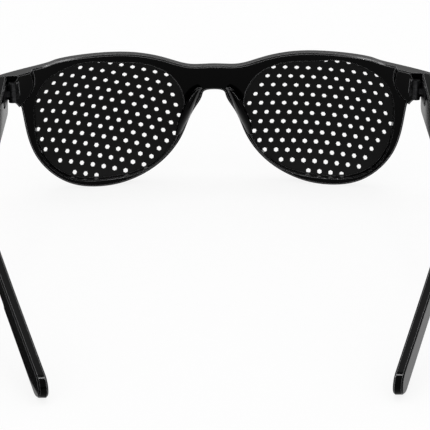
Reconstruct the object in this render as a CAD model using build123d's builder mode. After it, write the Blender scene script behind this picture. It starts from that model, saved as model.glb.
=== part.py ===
from build123d import *
import os
from math import atan, ceil, cos, radians, sin, sqrt

# Pinhole glasses: a moulded full-rim front, two perforated plates in place of lenses,
# and two folding temples on barrel hinges. The glasses stand open on a table:
# +X is the wearer's right, +Y the way the wearer looks, +Z up, and z = 0 is the table.

# Overall sizes
overall_width = 140.0
overall_length = 156.0
front_height = 46.9

# Perforated plates, and the curve that the whole front follows
base_radius = 66.25
wrap_angle = 9.4
shell_sweep = 50.0
plate_forward = 0.6
plate_thickness = 0.6
lens_spacing = 70.2
aperture_width = 49.6
aperture_height = 41.7
lower_rim = 2.3
groove_depth = 0.8
groove_play = 0.05

# Pinholes, on a triangular grid that each plate holds at its own angle
pinhole_pitch = 3.86
pinhole_radius = 0.85
pinhole_flats = 6
grid_turn_right, grid_turn_left = 1.6, 14.2
grid_shift_right, grid_shift_left = (0.25, -3.1), (-1.2, -0.75)
pinhole_edge = 0.4

# Rims and end blocks of the front
rim_front = 1.65
rim_back = 2.05
rim_bevel = 0.55
aperture_bevel = 0.3
block_back = 4.0
block_overlap = 1.2
block_bevel = 0.5
block_end_z = 37.6
block_root_x, block_root_z = 63.8, 31.8
block_mid_x, block_mid_z = 66.3, 35.7
step_top_x, step_mid_x, step_low_x = 60.4, 59.0, 65.6
step_mid_z = 40.0

# Moulded nose pads, oval in section, from their top end to their low end
pad_levels = [33.6, 31.0, 26.5, 21.5, 17.0]
pad_places = [4.8, 6.3, 8.0, 10.2, 12.4]
pad_widths = [1.4, 2.4, 3.0, 2.6, 1.4]
pad_depths = [3.4, 5.4, 7.2, 5.6, 2.8]
pad_sink = 1.2
pad_turn = 24.0

# Hinges
joint_back = 24.2
joint_gap = 0.25
hinge_inset = 1.9
hinge_back = 2.3
hinge_z = 39.4
barrel_radius = 1.35
barrel_height = 1.9
barrel_gap = 0.08
barrel_count = 3
anchor_width = 3.4
anchor_depth = 2.0
anchor_cover = 0.6
shank_width = 2.3
leaf_length = 7.5
leaf_thickness = 1.0
leaf_proud = 0.2
leaf_start = 0.6
screw_radius = 0.7
screw_play = 0.05
screw_head_radius = 1.15
screw_head_height = 0.55
screw_slot = 0.3

# Temples
temple_thickness = 2.9
tip_thickness = 2.4
temple_height = 12.2
temple_top_z = 44.4
temple_bend = 150.0
mid_back = 38.0
mid_height = 8.6
temple_bevel = 0.4
toe_round = 3.5
ear_back = 78.7
ear_z = 25.8
ear_height = 7.0
ear_radius = 60.0
waist_height = 6.1
bow_back = 70.3
bow_radius = 75.0
tip_inset = 24.0
paddle_height = 7.5
paddle_length = 31.0
paddle_step = 0.7

# How far cuts run past the solid, and the cosine past which an edge counts as crossing a temple
overrun = 5.0
crosswise = 0.9

# Derived places. Every surface of the front is part of a ball about one point per side, curve_x,
# curve_y, lens_z, and runs straight across the bridge between the two points.
half_width = overall_width / 2
lens_x = lens_spacing / 2
lens_z = lower_rim + aperture_height / 2
curve_x = lens_x - base_radius * sin(radians(wrap_angle))
half_length = overall_length / 2
front_y = half_length
front_radius = base_radius + rim_front
rear_radius = base_radius - rim_back
plate_radius = base_radius + plate_forward
block_radius = base_radius - block_back
curve_y = front_y - front_radius
joint_y = front_y - joint_back
hinge_x = half_width - temple_thickness - hinge_inset
hinge_y = joint_y - hinge_back
inner_x = half_width - temple_thickness
reach = front_radius + overrun
front_view = Plane.XZ.offset(-curve_y)
stack_height = barrel_count * barrel_height + (barrel_count - 1) * barrel_gap
hinge_low = hinge_z - stack_height / 2
barrel_levels = [hinge_low + level * (barrel_height + barrel_gap) for level in range(barrel_count)]
standing = (Align.CENTER, Align.CENTER, Align.MIN)

# Outlines, as shares of the half width and the height of the front
bridge_top_share, brow_end_share, notch_top_share = 0.893, 0.948, 0.702
brow_shares = [(0.12, 0.892), (0.24, 0.947), (0.36, 0.987), (0.50, 1.0), (0.74, 0.985)]
cheek_shares = [(0.893, 0.45), (0.857, 0.281), (0.795, 0.15), (0.70, 0.046), (0.57, 0.001)]
nose_shares = [(0.455, 0.0142), (0.344, 0.075), (0.243, 0.18), (0.155, 0.355), (0.10, 0.54), (0.058, 0.65)]

# Aperture, as shares of half its width and half its height
aperture_shares = [
    (0.08, 1.0), (0.62, 0.92), (0.88, 0.70), (1.0, 0.14), (0.925, -0.46),
    (0.765, -0.75), (0.48, -0.95), (0.06, -1.0), (-0.30, -0.94), (-0.68, -0.69),
    (-0.91, -0.29), (-1.0, 0.15), (-0.94, 0.52), (-0.80, 0.745), (-0.50, 0.93),
]


def front_point(share):
    """A point of the front's outline, from its shares."""
    return (share[0] * half_width, share[1] * front_height)


def aperture_point(share):
    """A point of the right aperture's edge, from its shares."""
    return (lens_x + share[0] * aperture_width / 2, lens_z + share[1] * aperture_height / 2)


def front_outline():
    """Right half of the front, seen from behind."""
    brow_start = (0, bridge_top_share * front_height)
    block_top = (half_width, brow_end_share * front_height)
    block_end = (half_width, block_end_z)
    block_root = (block_root_x, block_root_z)
    notch_top = (0, notch_top_share * front_height)
    brow_points = map(front_point, brow_shares)
    rim_points = map(front_point, cheek_shares + nose_shares)
    with BuildLine() as edge:
        Spline(brow_start, *brow_points, block_top, tangents=[(1, 0), (1, -0.03)])
        Line(block_top, block_end)
        ThreePointArc(block_end, (block_mid_x, block_mid_z), block_root)
        Spline(block_root, *rim_points, notch_top, tangents=[(-0.12, -1), (-1, 0)])
        Line(notch_top, brow_start)
    return edge.line


def block_outline():
    """What lies outside the curved step of the end block."""
    step_top = (step_top_x, front_height)
    step_low = (step_low_x, block_root_z)
    with BuildLine() as edge:
        ThreePointArc(step_top, (step_mid_x, step_mid_z), step_low)
        Line(step_low, (half_width + overrun, block_root_z))
        Line((half_width + overrun, block_root_z), (half_width + overrun, front_height))
        Line((half_width + overrun, front_height), step_top)
    return edge.line


def aperture_face(margin):
    """The right aperture, widened by a margin."""
    with BuildSketch() as hole:
        with BuildLine(mode=Mode.PRIVATE):
            edge = Spline(*map(aperture_point, aperture_shares), periodic=True)
        stations = [count / (2 * len(aperture_shares)) for count in range(2 * len(aperture_shares))]
        outward = [Vector(-(edge % place).Y, (edge % place).X) * margin for place in stations]
        with BuildLine():
            Spline(*[edge @ place + step for place, step in zip(stations, outward)], periodic=True)
        make_face()
    return hole.sketch


def curved_shell(outer, inner):
    """Right half of the shell between two radii: straight over the bridge, then a part of a ball."""
    with BuildPart() as shell:
        with BuildSketch(Plane.XY.offset(lens_z)):
            with BuildLine():
                over_bridge = Line((0, curve_y + outer), (curve_x, curve_y + outer))
                outside = JernArc(over_bridge @ 1, (1, 0), outer, -shell_sweep)
                under_bridge = Line((0, curve_y + inner), (curve_x, curve_y + inner))
                inside = JernArc(under_bridge @ 1, (1, 0), inner, -shell_sweep)
                Line(over_bridge @ 0, under_bridge @ 0)
                Line(outside @ 1, inside @ 1)
            make_face()
        revolve(axis=Axis((0, curve_y, lens_z), (1, 0, 0)))
    return shell.part


def ball_centre(side):
    """The point that the front keeps its distance from on one side."""
    return Vector(side * curve_x, curve_y, lens_z)


def plate_layer(side, thickness, margin, centre):
    """Layer of a ball about a centre that fills one side's aperture, widened by a margin."""
    opening = aperture_face(margin)
    if side < 0:
        opening = mirror(opening, about=Plane.YZ, mode=Mode.PRIVATE)
    with BuildPart() as layer:
        with Locations(centre):
            Sphere(plate_radius + thickness / 2)
            Sphere(plate_radius - thickness / 2, mode=Mode.SUBTRACT)
        with BuildSketch(Plane.XZ.offset(-centre.Y)):
            with Locations((centre.X - side * curve_x, centre.Z - lens_z)):
                add(opening)
        extrude(amount=-reach, mode=Mode.INTERSECT)
    return layer.part


def pinhole_planes(side, turn, shift):
    """Planes square to a plate, just under it, for the grid points inside its aperture. The ball that
    the plate is part of stands at the origin."""
    opening = aperture_face(-pinhole_edge).face()
    across_way = Vector(cos(radians(wrap_angle)), -side * sin(radians(wrap_angle)), 0)
    plate_way = Vector(side * sin(radians(wrap_angle)), cos(radians(wrap_angle)), 0)
    under = 1 - plate_thickness / plate_radius
    grid_reach = ceil(aperture_width / pinhole_pitch)
    planes = []
    for row in range(-grid_reach, grid_reach + 1):
        for column in range(-grid_reach, grid_reach + 1):
            step = Vector(pinhole_pitch * (column + row / 2), -pinhole_pitch * row * sin(radians(60)))
            across, up, _ = step.rotate(Axis.Z, -turn) + shift
            depth = sqrt(max(plate_radius**2 - across**2 - up**2, 0))
            outward = across_way * across + Vector(0, 0, up) + plate_way * depth
            if opening.is_inside((side * outward.X + curve_x, outward.Z + lens_z, 0)):
                planes.append(Plane(origin=outward * under, z_dir=outward))
    return planes


def perforated_plate(side, turn, shift):
    """A plate with holes square to its surface. Each hole has six flats, to keep the solid light."""
    with BuildPart() as plate:
        add(plate_layer(side, plate_thickness, groove_depth, Vector()))
        with BuildSketch(*pinhole_planes(side, turn, shift)):
            RegularPolygon(pinhole_radius, pinhole_flats)
        extrude(amount=2 * plate_thickness, mode=Mode.SUBTRACT)
    return plate.part.moved(Location(ball_centre(side)))


def pad_section(z, x, width, depth):
    """One level of the right nose pad: an oval that grows out of the back of the rim."""
    rim_y = curve_y + sqrt(rear_radius**2 - (z - lens_z) ** 2)
    back = Vector(sin(radians(pad_turn)), -cos(radians(pad_turn)), 0)
    middle = Vector(x, rim_y, z) + back * (depth / 2 - pad_sink)
    with BuildSketch(Plane(origin=middle, x_dir=back, z_dir=(0, 0, 1))) as oval:
        Ellipse(depth / 2, width / 2)
    return oval.sketch


def screw_hole():
    """Bore for the hinge screw, cut through every barrel of a leaf."""
    with Locations((hinge_x, hinge_y, hinge_low - overrun)):
        Cylinder(screw_radius + screw_play, stack_height + 2 * overrun, align=standing, mode=Mode.SUBTRACT)


# Rims and bridge of the right half, bevelled along both edges
with BuildPart() as rim_half:
    add(curved_shell(front_radius, rear_radius))
    with BuildSketch(front_view):
        add(front_outline())
        make_face()
    extrude(amount=-reach, mode=Mode.INTERSECT)
    long_edges = edges().filter_by(GeomType.CIRCLE, reverse=True)
    long_edges = long_edges.filter_by(lambda e: e.length > rim_front + rim_back + rim_bevel)
    inner_edges = long_edges.filter_by(lambda e: rim_bevel < (e @ 0.5).X < half_width - rim_bevel)
    chamfer(inner_edges, rim_bevel)

# End block, which stands behind the rim from a curved step outward
with BuildPart() as end_block:
    add(curved_shell(rear_radius + block_overlap, block_radius))
    with BuildSketch(front_view):
        add(front_outline())
        make_face()
    extrude(amount=-reach, mode=Mode.INTERSECT)
    with BuildSketch(front_view):
        add(block_outline())
        make_face()
    extrude(amount=-reach, mode=Mode.INTERSECT)
    back_face = faces().filter_by(GeomType.SPHERE).sort_by(Axis.Y)[0]
    chamfer(back_face.edges().filter_by(lambda e: (e @ 0.5).X < half_width - rim_bevel), block_bevel)

# Nose pad, moulded on the nasal side of the rim
with BuildPart() as nose_pad:
    for z, x, width, depth in zip(pad_levels, pad_places, pad_widths, pad_depths):
        add(pad_section(z, x, width, depth))
    loft()


# Front leaf: two barrels on shanks that run into an anchor inside the end block
with BuildPart() as front_leaf:
    anchor_y = joint_y + anchor_cover
    for level in barrel_levels[0::2]:
        with BuildSketch(Plane.XY.offset(level)):
            with Locations((hinge_x, hinge_y)):
                Circle(barrel_radius)
                Rectangle(shank_width, anchor_y - hinge_y, align=(Align.CENTER, Align.MIN))
        extrude(amount=barrel_height)
    with BuildSketch(Plane.XY.offset(hinge_low)):
        with Locations((hinge_x, anchor_y)):
            Rectangle(anchor_width, anchor_depth, align=(Align.CENTER, Align.MIN))
    extrude(amount=stack_height)
    screw_hole()

# Temple leaf: one barrel on a plate that is sunk into the temple's inner face
with BuildPart() as temple_leaf:
    plate_x = inner_x - leaf_proud
    for level in barrel_levels[1::2]:
        with BuildSketch(Plane.XY.offset(level)):
            with Locations((hinge_x, hinge_y)):
                Circle(barrel_radius)
                Rectangle(plate_x - hinge_x, shank_width / 2, align=(Align.MIN, Align.MAX))
        extrude(amount=barrel_height)
    with BuildSketch(Plane.XY.offset(hinge_low)):
        with Locations((plate_x, hinge_y + leaf_start)):
            Rectangle(leaf_thickness, leaf_length, align=(Align.MIN, Align.MAX))
    extrude(amount=stack_height)
    screw_hole()

# Screw, with its slotted head on the top barrel
with BuildPart() as screw:
    with Locations((hinge_x, hinge_y, hinge_low)):
        Cylinder(screw_radius, stack_height, align=standing)
    with Locations((hinge_x, hinge_y, hinge_low + stack_height)):
        Cylinder(screw_head_radius, screw_head_height, align=standing)
    with Locations((hinge_x, hinge_y, hinge_low + stack_height + screw_head_height)):
        Box(2 * screw_head_radius + overrun, screw_slot, screw_head_height, mode=Mode.SUBTRACT)

# Right half of the front: rim and end block, squared off at the temple joint
with BuildPart() as front_half:
    add(rim_half.part)
    add(end_block.part)
    split(bisect_by=Plane.XZ.offset(-joint_y), keep=Keep.BOTTOM)
    with BuildSketch(front_view):
        add(aperture_face(0))
    extrude(amount=-reach, mode=Mode.SUBTRACT)
    aperture_edges = edges(Select.LAST).filter_by(GeomType.BSPLINE)
    chamfer(aperture_edges, aperture_bevel)
    add(nose_pad.part)

# Whole front, with a groove round each aperture and a pocket for each hinge anchor
with BuildPart() as frame_front:
    add(front_half.part)
    mirror(about=Plane.YZ)
    for side in (1, -1):
        groove_width = plate_thickness + 2 * groove_play
        groove = plate_layer(side, groove_width, groove_depth + groove_play, ball_centre(side))
        add(groove, mode=Mode.SUBTRACT)
    add(front_leaf.part, mode=Mode.SUBTRACT)
    add(mirror(front_leaf.part, about=Plane.YZ), mode=Mode.SUBTRACT)


# Side view of a temple: its line falls gently to the ear, then steeply down to the tip
tip_radius = paddle_height / 2
front_mid = Vector(joint_gap, temple_top_z - temple_height / 2)
ear = Vector(ear_back, ear_z)
tip = Vector(joint_y + half_length - tip_radius, tip_radius)
fall = (ear - front_mid).normalized()
middle = front_mid + fall * mid_back
along = (tip - ear).normalized()
square = Vector(-along.Y, along.X)
paddle = tip - along * (paddle_length - tip_radius)
up = Vector(0, 1)
top_points = [
    front_mid + up * temple_height / 2,
    middle + up * mid_height / 2,
    ear + up * ear_height / 2,
    paddle + square * waist_height / 2,
    tip + square * tip_radius,
]
low_points = [
    tip - square * tip_radius,
    paddle - square * tip_radius,
    paddle - square * (waist_height / 2) - along * paddle_step,
    ear - up * ear_height / 2,
    middle - up * mid_height / 2,
    front_mid - up * temple_height / 2,
    front_mid,
]
top_bends = [temple_bend, ear_radius, temple_bend]
low_bends = [paddle_step, paddle_step, ear_radius, temple_bend, toe_round]
bow_slope = tip_inset / (tip.X + tip_radius - bow_back)
inner_points = [
    (inner_x, -joint_gap),
    (inner_x, -bow_back),
    (inner_x - tip_inset - overrun * bow_slope, -(tip.X + tip_radius + overrun)),
]
end_back = tip.X + tip_radius + overrun
outer_points = [
    (half_width, -joint_gap),
    (half_width, -bow_back),
    (inner_points[-1][0] + tip_thickness * sqrt(1 + bow_slope**2), -end_back),
]

temple_side = Plane(origin=(0, joint_y, 0), x_dir=(0, -1, 0), z_dir=(-1, 0, 0))
temple_plan = Plane(origin=(0, joint_y, -overrun))
with BuildPart() as temple:
    with BuildSketch(temple_side):
        with BuildLine():
            top_edge = FilletPolyline(*top_points, radius=top_bends)
            low_edge = FilletPolyline(*low_points, radius=low_bends)
            ThreePointArc(top_edge @ 1, tip + along * tip_radius, low_edge @ 0)
            Line(low_edge @ 1, top_edge @ 0)
        make_face()
    extrude(amount=-half_width)
    with BuildSketch(temple_plan):
        with BuildLine():
            inner = FilletPolyline(*inner_points, radius=bow_radius)
            outer = FilletPolyline(*outer_points, radius=bow_radius + temple_thickness)
            Line(inner @ 0, outer @ 0)
            Line(inner @ 1, outer @ 1)
        make_face()
    extrude(amount=front_height + 2 * overrun, mode=Mode.INTERSECT)
    behind_joint = edges().filter_by(lambda e: (e @ 0.5).Y < joint_y - 2 * joint_gap)
    long_edges = behind_joint.filter_by(lambda e: abs((e % 0.5).X) < crosswise)
    chamfer(long_edges, temple_bevel)
    add(temple_leaf.part, mode=Mode.SUBTRACT)

# Pieces of the front that come once per side
plates = {
    "right_pinhole_plate": perforated_plate(1, grid_turn_right, grid_shift_right),
    "left_pinhole_plate": perforated_plate(-1, grid_turn_left, grid_shift_left),
}
pieces = {"frame_front": frame_front.part, **plates}
halves = {"temple": temple, "front_leaf": front_leaf, "temple_leaf": temple_leaf, "hinge_screw": screw}
for name, half in halves.items():
    pieces["right_" + name] = half.part
    pieces["left_" + name] = mirror(half.part, about=Plane.YZ)

os.makedirs("parts", exist_ok=True)
for name, piece in pieces.items():
    piece.label = name
    export_step(piece, f"parts/{name}.step")
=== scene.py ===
import bpy
from mathutils import Matrix, Vector

# Pinhole glasses, open on a white table and seen from the wearer's side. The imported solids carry
# every shape, and each section below gives one kind of piece its finish.
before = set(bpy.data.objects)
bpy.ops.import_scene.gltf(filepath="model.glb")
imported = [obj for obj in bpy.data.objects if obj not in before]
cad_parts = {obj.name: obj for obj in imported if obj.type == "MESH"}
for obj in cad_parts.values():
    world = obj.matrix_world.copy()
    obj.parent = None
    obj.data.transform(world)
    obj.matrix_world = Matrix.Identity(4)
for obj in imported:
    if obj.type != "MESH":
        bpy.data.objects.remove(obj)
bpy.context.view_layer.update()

# Frame: the front, with its rims, bridge, nose pads and end blocks in one piece, and two temples.
# All three are injection-moulded in deep black plastic, which takes its polish from the mould and
# sinks in very slightly as it cools. Their edges carry a painted highlight: a lighter grey that
# stands in for the light caught on the edges' rounding.
frame_gloss = 0.04
deep_black = (0.0006, 0.0006, 0.00065, 1)
# Lighter grey painted along the edges as a highlight, not a colour of the plastic
painted_edge_highlight = (0.3, 0.3, 0.305, 1)
polish_scale, polish_detail = 90, 4
polish_roughness = (0.07, 0.13)
sink_scale, sink_detail = 45, 1
sink_strength, sink_depth = 0.15, 0.0002
edge_radius, edge_samples = 0.00028, 6
# Cosine between a face and its rounded edge, where the painted edge highlight starts and where it
# is full
highlight_start, highlight_full = 0.985, 0.91


def new_finish(name):
    """A material for one kind of surface, with its node tree and its shader."""
    finish = bpy.data.materials.new(name)
    finish.use_nodes = True
    return finish, finish.node_tree, finish.node_tree.nodes["Principled BSDF"]


def grain(tree, scale, detail=2, measured="Object"):
    """A noise through the piece, measured in metres or in shares of the piece's size."""
    place = tree.nodes.new("ShaderNodeTexCoord")
    noise = tree.nodes.new("ShaderNodeTexNoise")
    noise.inputs["Scale"].default_value = scale
    noise.inputs["Detail"].default_value = detail
    tree.links.new(place.outputs[measured], noise.inputs["Vector"])
    return noise.outputs["Fac"]


def vary_number(tree, value, ends, socket):
    """Lets a number of the finish vary between two ends."""
    spread = tree.nodes.new("ShaderNodeMapRange")
    spread.inputs["To Min"].default_value, spread.inputs["To Max"].default_value = ends
    tree.links.new(value, spread.inputs["Value"])
    tree.links.new(spread.outputs["Result"], socket)


def vary_colour(tree, value, colours, socket):
    """Lets a colour of the finish vary between two colours."""
    blend = tree.nodes.new("ShaderNodeMixRGB")
    blend.inputs["Color1"].default_value, blend.inputs["Color2"].default_value = colours
    tree.links.new(value, blend.inputs["Fac"])
    tree.links.new(blend.outputs["Color"], socket)


def relief(tree, value, strength, depth, socket):
    """Raises the surface by a grain, a few hundredths of a millimetre at most."""
    raised = tree.nodes.new("ShaderNodeBump")
    raised.inputs["Strength"].default_value = strength
    raised.inputs["Distance"].default_value = depth
    tree.links.new(value, raised.inputs["Height"])
    tree.links.new(raised.outputs["Normal"], socket)
    return raised


def dress(names, finish):
    """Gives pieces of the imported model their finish."""
    for name in names:
        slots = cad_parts[name].data.materials
        slots.clear()
        slots.append(finish)


frame_plastic, tree, shader = new_finish("frame_plastic")
shader.inputs["Specular IOR Level"].default_value = frame_gloss
polish = grain(tree, polish_scale, polish_detail)
vary_number(tree, polish, polish_roughness, shader.inputs["Roughness"])
sink = grain(tree, sink_scale, sink_detail)
sunk_face = relief(tree, sink, sink_strength, sink_depth, shader.inputs["Normal"])

edge_round = tree.nodes.new("ShaderNodeBevel")
edge_round.samples = edge_samples
edge_round.inputs["Radius"].default_value = edge_radius
tree.links.new(edge_round.outputs["Normal"], sunk_face.inputs["Normal"])

# Painted highlight: the base colour turns lighter grey where the rounded-edge normal turns away
# from the face, along every edge
bare_face = tree.nodes.new("ShaderNodeNewGeometry")
turn_at_edge = tree.nodes.new("ShaderNodeVectorMath")
turn_at_edge.operation = "DOT_PRODUCT"
tree.links.new(edge_round.outputs["Normal"], turn_at_edge.inputs[0])
tree.links.new(bare_face.outputs["Normal"], turn_at_edge.inputs[1])
edge_highlight_mask = tree.nodes.new("ShaderNodeMapRange")
edge_highlight_mask.inputs["From Min"].default_value = highlight_start
edge_highlight_mask.inputs["From Max"].default_value = highlight_full
tree.links.new(turn_at_edge.outputs["Value"], edge_highlight_mask.inputs["Value"])
black_and_highlight = (deep_black, painted_edge_highlight)
vary_colour(tree, edge_highlight_mask.outputs["Result"], black_and_highlight, shader.inputs["Base Color"])

dress(("frame_front", "right_temple", "left_temple"), frame_plastic)

# Pinhole plates: thin opaque sheet in place of lenses, moulded with its holes, curved like the
# rims and held in their grooves. The face is satin, with a fine tooth that scatters the light.
plate_gloss = 0.07
plate_blacks = ((0.0025, 0.0025, 0.0027, 1), (0.0065, 0.0064, 0.0062, 1))
plate_roughness = (0.34, 0.48)
tooth_scale, tooth_detail = 2200, 3
tooth_strength, tooth_depth = 0.2, 0.00002

plate_plastic, tree, shader = new_finish("plate_plastic")
shader.inputs["Specular IOR Level"].default_value = plate_gloss
tooth = grain(tree, tooth_scale, tooth_detail)
vary_colour(tree, tooth, plate_blacks, shader.inputs["Base Color"])
vary_number(tree, tooth, plate_roughness, shader.inputs["Roughness"])
relief(tree, tooth, tooth_strength, tooth_depth, shader.inputs["Normal"])

dress(("right_pinhole_plate", "left_pinhole_plate"), plate_plastic)

# Hinges: a steel leaf in each end block and one in each temple, with a slotted screw through
# their barrels. The steel is stamped and drawn, darkened, and dulled by handling.
steel_darks = ((0.006, 0.006, 0.0063, 1), (0.045, 0.045, 0.047, 1))
steel_roughness = (0.22, 0.42)
drawn_scale = 1500

hinge_metal, tree, shader = new_finish("hinge_metal")
shader.inputs["Metallic"].default_value = 1
drawn = grain(tree, drawn_scale)
vary_colour(tree, drawn, steel_darks, shader.inputs["Base Color"])
vary_number(tree, drawn, steel_roughness, shader.inputs["Roughness"])

for side in ("right", "left"):
    dress((f"{side}_front_leaf", f"{side}_temple_leaf", f"{side}_hinge_screw"), hinge_metal)

# Table: one wide sheet of matt white paper, which the glasses stand on. What looks at it sees it
# almost pure white, and the rest of it is lit as paper, so that it keeps the glasses' shadow.
table_reach = 3.0
paper_whites = ((0.93, 0.93, 0.93, 1), (0.97, 0.97, 0.97, 1))
fibre_scale = 900
paper_roughness, paper_gloss = 0.9, 0.1
paper_glow, glow_share = 1.0, 0.85


def flat_sheet(name, outline, height):
    """A flat piece of the set, from its outline."""
    mesh = bpy.data.meshes.new(name)
    mesh.from_pydata([(x, y, height) for x, y in outline], [], [range(len(outline))])
    sheet = bpy.data.objects.new(name, mesh)
    bpy.context.collection.objects.link(sheet)
    return sheet


def seen_by_eye(tree):
    """1 for the rays that look at a thing: from the camera, off a gloss or through glass."""
    ray = tree.nodes.new("ShaderNodeLightPath")
    seen = ray.outputs["Is Camera Ray"]
    for way in ("Is Glossy Ray", "Is Transmission Ray"):
        either = tree.nodes.new("ShaderNodeMath")
        either.operation = "MAXIMUM"
        tree.links.new(seen, either.inputs[0])
        tree.links.new(ray.outputs[way], either.inputs[1])
        seen = either.outputs["Value"]
    return seen


table_corners = [(-1, -1), (1, -1), (1, 1), (-1, 1)]
table = flat_sheet("table", [(x * table_reach, y * table_reach) for x, y in table_corners], 0)
table_paper, tree, shader = new_finish("table_paper")
shader.inputs["Roughness"].default_value = paper_roughness
shader.inputs["Specular IOR Level"].default_value = paper_gloss
fibre = grain(tree, fibre_scale, measured="Generated")
vary_colour(tree, fibre, paper_whites, shader.inputs["Base Color"])
glow = tree.nodes.new("ShaderNodeEmission")
glow.inputs["Strength"].default_value = paper_glow
seen_share = tree.nodes.new("ShaderNodeMath")
seen_share.operation = "MULTIPLY"
seen_share.inputs[1].default_value = glow_share
tree.links.new(seen_by_eye(tree), seen_share.inputs[0])
seen_paper = tree.nodes.new("ShaderNodeMixShader")
tree.links.new(seen_share.outputs["Value"], seen_paper.inputs["Fac"])
tree.links.new(shader.outputs["BSDF"], seen_paper.inputs[1])
tree.links.new(glow.outputs["Emission"], seen_paper.inputs[2])
tree.links.new(seen_paper.outputs["Shader"], tree.nodes["Material Output"].inputs["Surface"])
table.data.materials.append(table_paper)

# Card: black felt on a board, laid on the table outside the left temple, along its curve. It
# keeps that temple's outer face dark, and only the gloss sees it.
card_outline = [
    (-0.40, -0.16), (-0.046, -0.16), (-0.046, -0.079),
    (-0.0712, -0.018), (-0.0712, 0.10), (-0.40, 0.10),
]
card_height = 0.0004
felt_blacks = ((0.01, 0.01, 0.01, 1), (0.03, 0.03, 0.03, 1))
felt_scale = 600
felt_roughness, felt_gloss = 0.95, 0.1

card = flat_sheet("dark_card", card_outline, card_height)
card_black, tree, shader = new_finish("card_black")
shader.inputs["Roughness"].default_value = felt_roughness
shader.inputs["Specular IOR Level"].default_value = felt_gloss
felt = grain(tree, felt_scale, measured="Generated")
vary_colour(tree, felt, felt_blacks, shader.inputs["Base Color"])
card.data.materials.append(card_black)
card.visible_camera = card.visible_diffuse = card.visible_shadow = False

# Light: a white room all round, which is pure white to look at and a little weaker as a light,
# a soft lamp overhead, and a long lamp behind the camera that only draws lines along the edges.
white = (1, 1, 1, 1)
room_seen, room_light = 1.0, 0.7
front_centre = Vector((0.0, 0.07, 0.03))

room = bpy.data.worlds.new("room")
bpy.context.scene.world = room
room.use_nodes = True
tree = room.node_tree
tree.nodes.clear()
looked_at_or_lit = tree.nodes.new("ShaderNodeMixShader")
tree.links.new(seen_by_eye(tree), looked_at_or_lit.inputs["Fac"])
for socket, strength in enumerate((room_light, room_seen), start=1):
    wall = tree.nodes.new("ShaderNodeBackground")
    wall.inputs["Color"].default_value = white
    wall.inputs["Strength"].default_value = strength
    tree.links.new(wall.outputs["Background"], looked_at_or_lit.inputs[socket])
room_output = tree.nodes.new("ShaderNodeOutputWorld")
tree.links.new(looked_at_or_lit.outputs["Shader"], room_output.inputs["Surface"])


def soft_lamp(name, place, width, height, power, only_gloss=False):
    """A rectangular studio lamp that faces the front of the glasses."""
    lamp = bpy.data.objects.new(name, bpy.data.lights.new(name, "AREA"))
    lamp.data.shape = "RECTANGLE"
    lamp.data.size = width
    lamp.data.size_y = height
    lamp.data.energy = power
    lamp.visible_diffuse = not only_gloss
    lamp.location = place
    lamp.rotation_euler = (front_centre - Vector(place)).to_track_quat("-Z", "Y").to_euler()
    bpy.context.collection.objects.link(lamp)


soft_lamp("overhead_lamp", (0.0, 0.2, 1.1), width=1.0, height=0.6, power=4)
soft_lamp("edge_lamp", (0.0, -0.44, 0.95), width=1.6, height=0.12, power=60, only_gloss=True)

# Camera: on the wearer's side, above the temple tips, and turned by a hair to the photograph's
# level. Its place and lens were solved from the two grids of holes and the temples.
camera_place = Vector((-0.0044, -0.399, 0.1873))
camera_target = Vector((0.0002, 0.0756, -0.0140))
camera_roll = -0.0041
film_width, lens_length = 36, 122.5

camera = bpy.data.objects.new("camera", bpy.data.cameras.new("camera"))
bpy.context.collection.objects.link(camera)
camera.data.sensor_width = film_width
camera.data.lens = lens_length
camera.location = camera_place
aim = (camera_target - camera_place).to_track_quat("-Z", "Y").to_matrix()
camera.rotation_euler = (aim @ Matrix.Rotation(camera_roll, 3, "Z")).to_euler()
bpy.context.scene.camera = camera
bpy.context.scene.view_settings.view_transform = "Standard"
